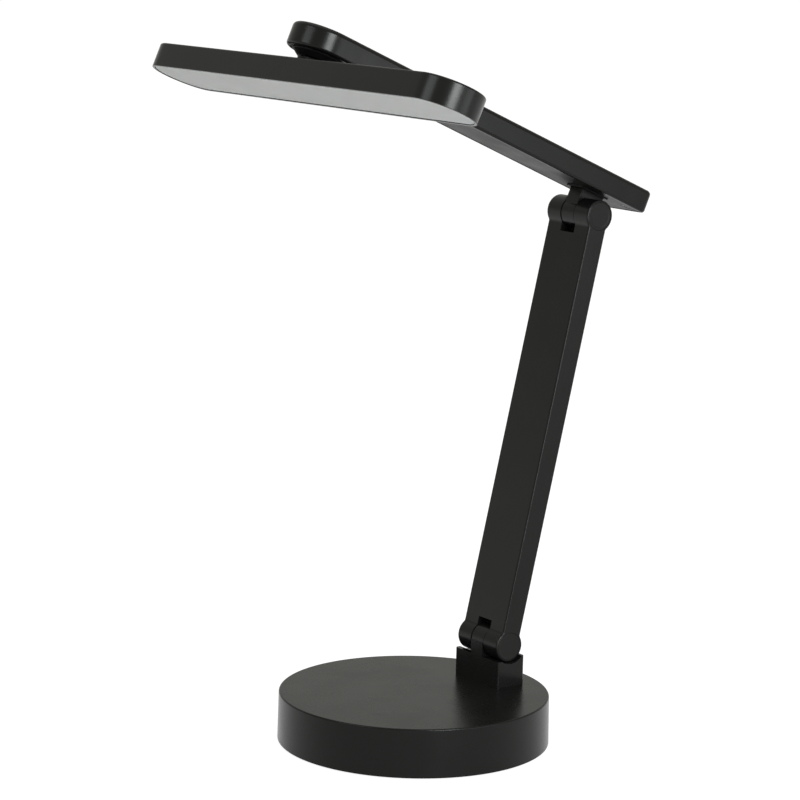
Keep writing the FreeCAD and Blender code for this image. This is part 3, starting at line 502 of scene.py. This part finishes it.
# Lower arm: its side outline is carried across between two eased edges, then slotted and windowed for
# the knuckles and hollowed behind.
lower = {"depth": 11.4, "half": 17.15, "edge": 0.9, "barrel": 8.3, "blend": 2.0, "slot": 8.5,
         "slotHalf": 5.6, "window": 10.8, "windowFront": -12, "cap": 7.28, "capSeat": 15.6,
         "hollowFront": -3.7, "hollowBack": 9.0, "hollowHalf": 14.8, "hollowLow": 15.0,
         "hollowTop": 212.4, "bore": 1.5, "boreEnd": 6.0, "ease": 0.2}
acrossRun = roundedRun([(2 * lower["edge"], -lower["half"], 0),
                        (0, -lower["half"], lower["edge"]),
                        (0, lower["half"], lower["edge"]),
                        (2 * lower["edge"], lower["half"], 0)], steps=6)
armX, armZ = hingeOutline(acrossRun[:, 0], lower["barrel"], lower["depth"] / 2, lower["blend"], elbowHeight)
armY = np.broadcast_to(acrossRun[:, 1][None], armX.shape)
armSkin = cappedSkin("lower_bar", np.stack([armX, armY, armZ], axis=-1))
hollowPlan = boxOutline(lower["hollowFront"], lower["hollowBack"], -lower["hollowHalf"], lower["hollowHalf"])
armBore = roundOutline(lower["bore"], 0, 0, steps=32)
armCuts = [stick("arm_hollow", hollowPlan, "z", lower["hollowLow"], lower["hollowTop"]),
           stick("arm_bore", armBore, "z", lower["boreEnd"], elbowHeight - lower["boreEnd"])]
for z, inner in ((0, lower["window"]), (elbowHeight, elbowHeight - lower["window"])):
    windowSide = boxOutline(min(z, inner), max(z, inner), lower["windowFront"], 0)
    armCuts.append(stickAcross("slot", roundOutline(lower["slot"], z, 0, steps=144), lower["slotHalf"]))
    armCuts.append(stickAcross("window", windowSide, lower["slotHalf"]))
    for side in (-1, 1):
        ends = sorted((side * lower["capSeat"], side * cutPast))
        armCuts.append(stick("cap_seat", roundOutline(lower["cap"], z, 0, steps=96), "y", *ends))
fitTogether(armSkin, armCuts, "DIFFERENCE")
easeEdges(armSkin, lower["ease"], merge=False)
finishPiece(armSkin, lowerFrame, "lower_arm", ["lower_arm_shell"], finishes["satinBlack"])

# Counterbores: a wide round for each screw's head, open to the outside, and a narrow one right through.
counterbore = {"head": 2.55, "deep": 1.4, "shank": 1.4}


def counterboreCuts(holes, axis, headSpan, shankSpan):
    cuts = []
    for hole in holes:
        headRing = roundOutline(counterbore["head"], *hole, steps=48)
        shankRing = roundOutline(counterbore["shank"], *hole, steps=32)
        cuts.append(stick("screw_head", headRing, axis, *headSpan))
        cuts.append(stick("screw_shank", shankRing, axis, *shankSpan))
    return cuts


# Rear cover of the lower arm: a thin plate with four counterbored holes.
rear = {"front": 3.5, "back": 5.7, "half": 14.65, "low": 15.15, "top": 212.25, "corner": 0.4,
        "screwY": 9.0, "screwZ": (29.0, 198.4), "screwLong": 5.3, "cutBack": 9, "ease": 0.15}
rearHoles = [(side * rear["screwY"], z) for z in rear["screwZ"] for side in (-1, 1)]
rearSeat = rear["back"] - counterbore["deep"]
coverPlan = boxOutline(-rear["half"], rear["half"], rear["low"], rear["top"], rear["corner"])
coverSkin = stick("rear_cover", coverPlan, "x", rear["front"], rear["back"])
coverCuts = counterboreCuts(rearHoles, "x", (rearSeat, rear["cutBack"]), (0, rear["cutBack"]))
fitTogether(coverSkin, coverCuts, "DIFFERENCE")
easeEdges(coverSkin, rear["ease"], steps=2)
finishPiece(coverSkin, lowerFrame, "lower_arm", ["lower_arm_cover"], finishes["satinBlack"])

# Hinge caps: shallow dished discs, turned about the hinge axis and set into both ends of a barrel.
cap = {"radius": 7.2, "seat": lower["capSeat"], "face": 17.1, "backEdge": 0.1, "edge": 0.2,
       "dish": 0.06, "dishRadius": 6.2, "dishSlope": 0.5, "dishArc": 0.4}
thick = cap["face"] - cap["seat"]
capRun = roundedRun([(0, 0, 0),
                     (cap["radius"], 0, cap["backEdge"]),
                     (cap["radius"], thick, cap["edge"]),
                     (cap["dishRadius"], thick, cap["dishArc"]),
                     (cap["dishRadius"] - cap["dishSlope"], thick - cap["dish"], cap["dishArc"]),
                     (0, thick - cap["dish"], 0)], steps=5)
disc = turnedGrid(capRun, steps=128)
for label, height in (("base_hinge_caps", 0.0), ("elbow_caps", elbowHeight)):
    right = np.stack([disc[..., 0], -(cap["seat"] + disc[..., 2]), height + disc[..., 1]], axis=-1)
    left = right * np.array([1, -1, 1])  # mirrored across the arm
    rightCap = gridSkin(label + "_right", right)
    capPair = gridSkin(label + "_pair", left)
    gather(capPair, [capPair.data, rightCap.data])
    bpy.data.objects.remove(rightCap)
    finishPiece(capPair, lowerFrame, "lower_arm", [label], finishes["satinBlack"])
print("lower arm done")

# Elbow bracket: knuckle, neck and the plate that is screwed up inside the upper arm.
neck = {"half": 7.5, "knuckle": 8.0, "knuckleHalf": 5.0, "plateLow": 16.1, "plateTop": 18.6,
        "plateX": 15.0, "plateY": 12.0, "boreX": -4.7, "bore": 1.5, "boreLow": 1.0, "wayFront": -20,
        "wayLow": 15.1, "ease": 0.4}
bracketSkin = stick("elbow_neck", centredBox(neck["half"], neck["knuckleHalf"]), "z", 0, neck["plateTop"])
knuckleSide = roundOutline(neck["knuckle"], 0, 0, steps=128)
platePlan = centredBox(neck["plateX"], neck["plateY"])
fitTogether(bracketSkin, [stickAcross("elbow_knuckle", knuckleSide, neck["knuckleHalf"]),
                          stick("elbow_plate", platePlan, "z", neck["plateLow"], neck["plateTop"])], "UNION")
neckBore = roundOutline(neck["bore"], neck["boreX"], 0, steps=32)
wayPlan = boxOutline(neck["wayFront"], neck["boreX"], -neck["bore"], neck["bore"])
fitTogether(bracketSkin, [stick("elbow_bore", neckBore, "z", neck["boreLow"], cutPast),
                          stick("elbow_way", wayPlan, "z", neck["wayLow"], cutPast)], "DIFFERENCE")
easeEdges(bracketSkin, neck["ease"])
finishPiece(bracketSkin, upperFrame, "upper_arm", ["elbow_bracket"], finishes["satinBlack"])

# Upper arm: the plan is carried up a run with a soft top edge; the run folds in to the arm's middle line.
upper = {"half": 16.8, "rear": 28.5, "corner": 3.5, "low": 12.0, "top": 23.9, "topEdge": 2.2,
         "lowEdge": 1.6, "wall": 2.0, "lip": 0.15, "ledge": 2.8, "ledgeZ": 14.4, "ledgeArc": 0.1,
         "ceiling": 21.7, "ceilingArc": 0.3}


def upperPlan(inset):
    return armOutline(inset, upper["half"], swivelX, upper["rear"], upper["corner"])


armRun = roundedRun([(upper["half"], upper["top"], 0),
                     (0, upper["top"], upper["topEdge"]),
                     (0, upper["low"], upper["lowEdge"]),
                     (upper["wall"], upper["low"], upper["lip"]),
                     (upper["wall"], upper["ledgeZ"], upper["ledgeArc"]),
                     (upper["ledge"], upper["ledgeZ"], upper["ledgeArc"]),
                     (upper["ledge"], upper["ceiling"], upper["ceilingArc"]),
                     (upper["half"], upper["ceiling"], 0)], steps=8)
upperSkin = gridSkin("upper_bar", carriedGrid(upperPlan, armRun))
finishPiece(upperSkin, upperFrame, "upper_arm", ["upper_arm_shell"], finishes["satinBlack"])

# Underside cover of the upper arm: the same plan moved in, with a raised collar round the neck.
under = {"inset": 2.15, "low": 12.2, "top": upper["ledgeZ"], "collarX": 9.5, "collarY": 6.5,
         "collarCorner": 0.5, "collarLow": 11.5, "collarSink": 0.1, "holeX": 8.3, "holeY": 5.3,
         "bush": 7.55, "screwX": 20.5, "screwY": 8.5, "screwLong": 5.8, "cutLow": 5, "ease": 0.15}
underHoles = [(under["screwX"], side * under["screwY"]) for side in (-1, 1)]
underSeat = under["low"] + counterbore["deep"]
planX, planY = upperPlan([under["inset"]])
underSkin = stick("under_cover", np.column_stack([planX[:, 0], planY[:, 0]]), "z", under["low"], under["top"])
collarPlan = centredBox(under["collarX"], under["collarY"], under["collarCorner"])
collarTop = under["top"] - under["collarSink"]
fitTogether(underSkin, [stick("neck_collar", collarPlan, "z", under["collarLow"], collarTop)], "UNION")
through = (under["cutLow"], cutPast)
underCuts = [stick("neck_hole", centredBox(under["holeX"], under["holeY"]), "z", *through),
             stick("bush_hole", roundOutline(under["bush"], swivelX, 0, steps=64), "z", *through)]
underCuts += counterboreCuts(underHoles, "z", (under["cutLow"], underSeat), through)
fitTogether(underSkin, underCuts, "DIFFERENCE")
easeEdges(underSkin, under["ease"], steps=2)
finishPiece(underSkin, upperFrame, "upper_arm", ["upper_arm_cover"], finishes["matteBlack"])

# Screws: a low domed head with a cross recess on a plain shank, set down at each counterbore.
screw = {"head": 2.4, "high": 1.4, "shank": 1.25, "dome": 0.1, "crown": 0.35, "brim": 0.08, "root": 0.05,
         "tip": 0.3, "crossLong": 1.4, "crossWide": 0.3, "crossDeep": 0.7, "crossTop": -5}


def screwSet(label, length, seats, facing, place, body):
    run = roundedRun([(0, -screw["high"], 0),
                      (screw["head"], screw["dome"] - screw["high"], screw["crown"]),
                      (screw["head"], 0, screw["brim"]),
                      (screw["shank"], 0, screw["root"]),
                      (screw["shank"], length, screw["tip"]),
                      (0, length, 0)], steps=4, hold=0.02)
    screws = gridSkin(label, turnedGrid(run, steps=64))
    long, wide = screw["crossLong"], screw["crossWide"]
    bars = [stick("cross", centredBox(a, b), "z", screw["crossTop"], screw["crossDeep"] - screw["high"])
            for a, b in ((long, wide), (wide, long))]
    fitTogether(screws, bars, "DIFFERENCE")
    turn = Vector((0, 0, 1)).rotation_difference(Vector(facing)).to_matrix().to_4x4()
    copies = []
    for seat in seats:
        copy = screws.data.copy()
        copy.transform(Matrix.Translation(Vector(seat)) @ turn)
        copies.append(copy)
    gather(screws, copies)
    for copy in copies:
        bpy.data.meshes.remove(copy)
    finishPiece(screws, place, body, [label], finishes["blackScrew"])


rearSeats = [(rearSeat, y, z) for y, z in rearHoles]
screwSet("lower_arm_screws", rear["screwLong"], rearSeats, (-1, 0, 0), lowerFrame, "lower_arm")
underSeats = [(x, y, underSeat) for x, y in underHoles]
screwSet("upper_arm_screws", under["screwLong"], underSeats, (0, 0, 1), upperFrame, "upper_arm")

# Swivel bush: a flange with a tapered side under the arm and a spigot up into it, turned in one closed run.
bush = {"flange": 13.0, "waist": 10.0, "low": 9.0, "shoulder": 11.5, "seat": 12.2, "spigot": 7.4,
        "top": 14.7, "bore": 5.05, "edge": 0.5, "boreArc": 0.2, "seatArc": 0.1, "rootArc": 0.05}
bushRun = roundedRun([(bush["bore"], bush["low"], bush["boreArc"]),
                      (bush["waist"], bush["low"], bush["edge"]),
                      (bush["flange"], bush["shoulder"], bush["edge"]),
                      (bush["flange"], bush["seat"], bush["seatArc"]),
                      (bush["spigot"], bush["seat"], bush["rootArc"]),
                      (bush["spigot"], bush["top"], bush["boreArc"]),
                      (bush["bore"], bush["top"], bush["boreArc"])], steps=5, closed=True)
bushSkin = gridSkin("swivel_ring", turnedGrid(bushRun, steps=128, centre=(swivelX, 0)), closedProfile=True)
finishPiece(bushSkin, upperFrame, "upper_arm", ["swivel_bush"], finishes["matteBlack"])

# Swivel stem: a foot that flares out onto the head in a quarter of an ellipse, a flange and the stem.
stem = {"foot": 11.5, "low": 4.9, "flange": 9.3, "flareTop": 7.1, "flareSteps": 12, "top": 8.6,
        "stem": 5.0, "stemTop": 18.95, "bore": 1.5, "edge": 0.35, "rootArc": 0.2, "tip": 0.4, "boreArc": 0.1}
sweep = np.linspace(0, math.pi / 2, stem["flareSteps"] + 1)[:, None]
flare = np.column_stack([stem["foot"] - (stem["foot"] - stem["flange"]) * np.sin(sweep),
                         stem["low"] + (stem["flareTop"] - stem["low"]) * (1 - np.cos(sweep))])
upperRun = roundedRun([(stem["flange"], stem["flareTop"], 0),
                       (stem["flange"], stem["top"], stem["edge"]),
                       (stem["stem"], stem["top"], stem["rootArc"]),
                       (stem["stem"], stem["stemTop"], stem["tip"]),
                       (stem["bore"], stem["stemTop"], stem["boreArc"]),
                       (stem["bore"], stem["low"], 0)], steps=5)
stemRun = np.concatenate([flare, upperRun[1:]])
stemSkin = gridSkin("swivel_foot", turnedGrid(stemRun, steps=128, centre=(swivelX, 0)), closedProfile=True)
finishPiece(stemSkin, upperFrame, "head", ["swivel_stem"], finishes["matteBlack"])
print("upper arm done")

# Light head: a round-ended bar whose wall and top are one run folded in to its middle line.
head = {"length": 262.8, "width": 34.9, "low": -7.8, "top": 4.9, "edge": 1.0, "wall": 1.4, "lip": 0.25,
        "ledge": 2.3, "ledgeZ": -6.0, "ledgeArc": 0.1, "ceiling": 3.1, "ceilingArc": 0.3}
headMiddle = np.array([swivelX, 0, 0])


def headPlan(inset):
    return barOutline(inset, head["length"], head["width"], arcSteps=64, sideSteps=40)


barRun = roundedRun([(head["width"] / 2, head["top"], 0),
                     (0, head["top"], head["edge"]),
                     (0, head["low"], head["lip"]),
                     (head["wall"], head["low"], head["lip"]),
                     (head["wall"], head["ledgeZ"], head["ledgeArc"]),
                     (head["ledge"], head["ledgeZ"], head["ledgeArc"]),
                     (head["ledge"], head["ceiling"], head["ceilingArc"]),
                     (head["width"] / 2, head["ceiling"], 0)], steps=8)
headSkin = gridSkin("light_bar", carriedGrid(headPlan, barRun) + headMiddle)
finishPiece(headSkin, upperFrame, "head", ["head_housing"], finishes["headBlack"])

# Opal diffuser: the same plan sunk just inside the wall, its lower edge eased.
opal = {"inset": 1.55, "low": -7.5, "top": head["ledgeZ"], "topEdge": 0.1, "edge": 0.3}
opalRun = roundedRun([(head["width"] / 2, opal["top"], 0),
                      (opal["inset"], opal["top"], opal["topEdge"]),
                      (opal["inset"], opal["low"], opal["edge"]),
                      (head["width"] / 2, opal["low"], 0)], steps=5)
opalSkin = gridSkin("opal_panel", carriedGrid(headPlan, opalRun) + headMiddle)
finishPiece(opalSkin, upperFrame, "head", ["diffuser"], finishes["opal"])
print("head done")

# The CAD nodes that stay get the finish of their own stuff.
keptNodes = {
    "satinBlack": ["base_bottom_plate"],
    "chipBlack": ["power_inlet", "control_board_parts", "base_hinge_friction_washers",
                  "elbow_friction_washers"],
    "zincSteel": ["base_plate_screws", "counterweight_screws", "hinge_post_screws", "base_hinge_pin",
                  "base_hinge_nut", "base_hinge_spring_washer", "elbow_pin", "elbow_nut",
                  "elbow_spring_washer", "elbow_bracket_screws", "swivel_stem_screws", "swivel_nut",
                  "touch_contact"],
    "bareBrass": ["touch_plate", "swivel_washer"],
    "castIron": ["counterweight"],
    "greyFoam": ["board_foam"],
    "greenBoard": ["control_board"],
    "wireJacket": ["inlet_lead", "board_lead", "lower_arm_lead", "upper_arm_lead", "head_lead"],
    "whiteFilm": ["led_tape", "led_socket", "reflector_sheet"],
    "bareAluminium": ["led_board"],
    "phosphor": ["leds"],
}
for finish, names in keptNodes.items():
    for name in names:
        cadNodes[name].data.materials.clear()
        cadNodes[name].data.materials.append(finishes[finish])
print("kept nodes dressed:", sum(len(names) for names in keptNodes.values()))

# Studio: a white floor that still takes the shadow, a pale room and five soft boxes.
studio = {"floorHalf": 60.0, "floorGlow": 0.90, "floorCatch": 0.20, "floorBounce": 0.36,
          "horizon": 1.0, "room": 0.60, "fadeLow": 0.03, "fadeHigh": 0.14,
          "roomTint": (1.0, 1.0, 0.94, 1), "boxTint": (0.92, 0.97, 1.0), "boxAim": (0.0, 0.0, 0.2)}


def grey(level):
    return (level, level, level, 1)


# The camera and reflections see the floor glow white and catch the shadow; other rays meet grey paper.
# Its underside is clear, so that the lamp can be looked at from below.
def floorPaper():
    paper = bpy.data.materials.new("floorPaper")
    paper.use_nodes = True
    tree = paper.node_tree
    tree.nodes.clear()
    rayKind = addNode(tree, "LightPath")
    seen = rayKind.outputs["Is Camera Ray"]
    for kind in ("Is Glossy Ray", "Is Transmission Ray"):
        either = addNode(tree, "Math", {0: seen, 1: rayKind.outputs[kind]})
        either.operation = "MAXIMUM"
        seen = either.outputs[0]
    bounce = addNode(tree, "BsdfDiffuse", {"Color": grey(studio["floorBounce"])})
    catch = addNode(tree, "BsdfDiffuse", {"Color": grey(studio["floorCatch"])})
    glow = addNode(tree, "Emission", {"Strength": studio["floorGlow"]})
    both = addNode(tree, "AddShader", {0: glow.outputs[0], 1: catch.outputs[0]})
    above = addNode(tree, "MixShader", {0: seen, 1: bounce.outputs[0], 2: both.outputs[0]})
    below = addNode(tree, "BsdfTransparent")
    fromBelow = addNode(tree, "NewGeometry").outputs["Backfacing"]
    oneWay = addNode(tree, "MixShader", {0: fromBelow, 1: above.outputs[0], 2: below.outputs[0]})
    addNode(tree, "OutputMaterial", {"Surface": oneWay.outputs[0]})
    return paper


floorSpan = studio["floorHalf"] * np.array([[-1, -1, 0], [1, -1, 0], [1, 1, 0], [-1, 1, 0]], dtype=float)
floor = meshPiece("studio_floor", floorSpan, [[0, 1, 2, 3]])
floor.data.materials.append(floorPaper())

# The room is brightest at the horizon and fades to a plain level a little above it.
room = bpy.data.worlds.new("studioRoom")
bpy.context.scene.world = room
room.use_nodes = True
tree = room.node_tree
around = addNode(tree, "TexCoord").outputs["Generated"]
height = addNode(tree, "SeparateXYZ", {0: around}).outputs["Z"]
fade = spread(tree, height, (studio["fadeLow"], studio["fadeHigh"]), (studio["horizon"], studio["room"]))
background = tree.nodes["Background"]
background.inputs["Color"].default_value = studio["roomTint"]
tree.links.new(fade, background.inputs["Strength"])

# Soft boxes, in metres: glow is how bright a box looks, and its power follows from that and its size.
softBoxes = {
    "left_box": {"toward": (-0.86, 0.0, 0.51), "far": 1.9, "wide": 0.85, "high": 0.40, "glow": 6.0},
    "right_box": {"toward": (-0.14, -0.98, 0.33), "far": 1.9, "wide": 0.75, "high": 0.40, "glow": 26.0},
    "low_box": {"toward": (-0.14, -0.99, -0.01), "far": 1.9, "wide": 0.50, "high": 0.34, "glow": 18.0},
    "side_box": {"toward": (0.41, -0.91, 0.02), "far": 1.25, "wide": 0.56, "high": 0.3, "glow": 3.6},
    "top_box": {"toward": (0.10, 0.05, 1.0), "far": 2.2, "wide": 2.2, "high": 2.2, "glow": 0.9},
}
for name, box in softBoxes.items():
    lamp = bpy.data.lights.new(name, "AREA")
    lamp.shape, lamp.size, lamp.size_y = "RECTANGLE", box["wide"], box["high"]
    lamp.energy = box["glow"] * math.pi * box["wide"] * box["high"]
    lamp.color = studio["boxTint"]
    holder = bpy.data.objects.new(name, lamp)
    way = Vector(box["toward"]).normalized()
    holder.location = Vector(studio["boxAim"]) + way * box["far"]
    holder.rotation_mode = "QUATERNION"
    holder.rotation_quaternion = (-way).to_track_quat("-Z", "Y")
    holder.visible_camera = False
    bpy.context.scene.collection.objects.link(holder)

# Camera: where the outlines of base, arms and head fall as they do in the picture.
viewpoint = {"place": (-0.831654, -1.177406, 0.433962), "ahead": (0.562266, 0.808234, -0.17497),
             "up": (0.082569, 0.155656, 0.984354), "lens": 130.17, "sensor": 36.0, "near": 0.01, "far": 200.0}
lens = bpy.data.cameras.new("studioCamera")
lens.sensor_width, lens.lens = viewpoint["sensor"], viewpoint["lens"]
lens.clip_start, lens.clip_end = viewpoint["near"], viewpoint["far"]
camera = bpy.data.objects.new("studioCamera", lens)
ahead, up = Vector(viewpoint["ahead"]), Vector(viewpoint["up"])
turn = Matrix((ahead.cross(up), up, -ahead)).transposed().to_4x4()
camera.matrix_world = Matrix.Translation(Vector(viewpoint["place"])) @ turn
bpy.context.scene.collection.objects.link(camera)
bpy.context.scene.camera = camera
bpy.context.scene.view_settings.view_transform = "Standard"
print("studio done")
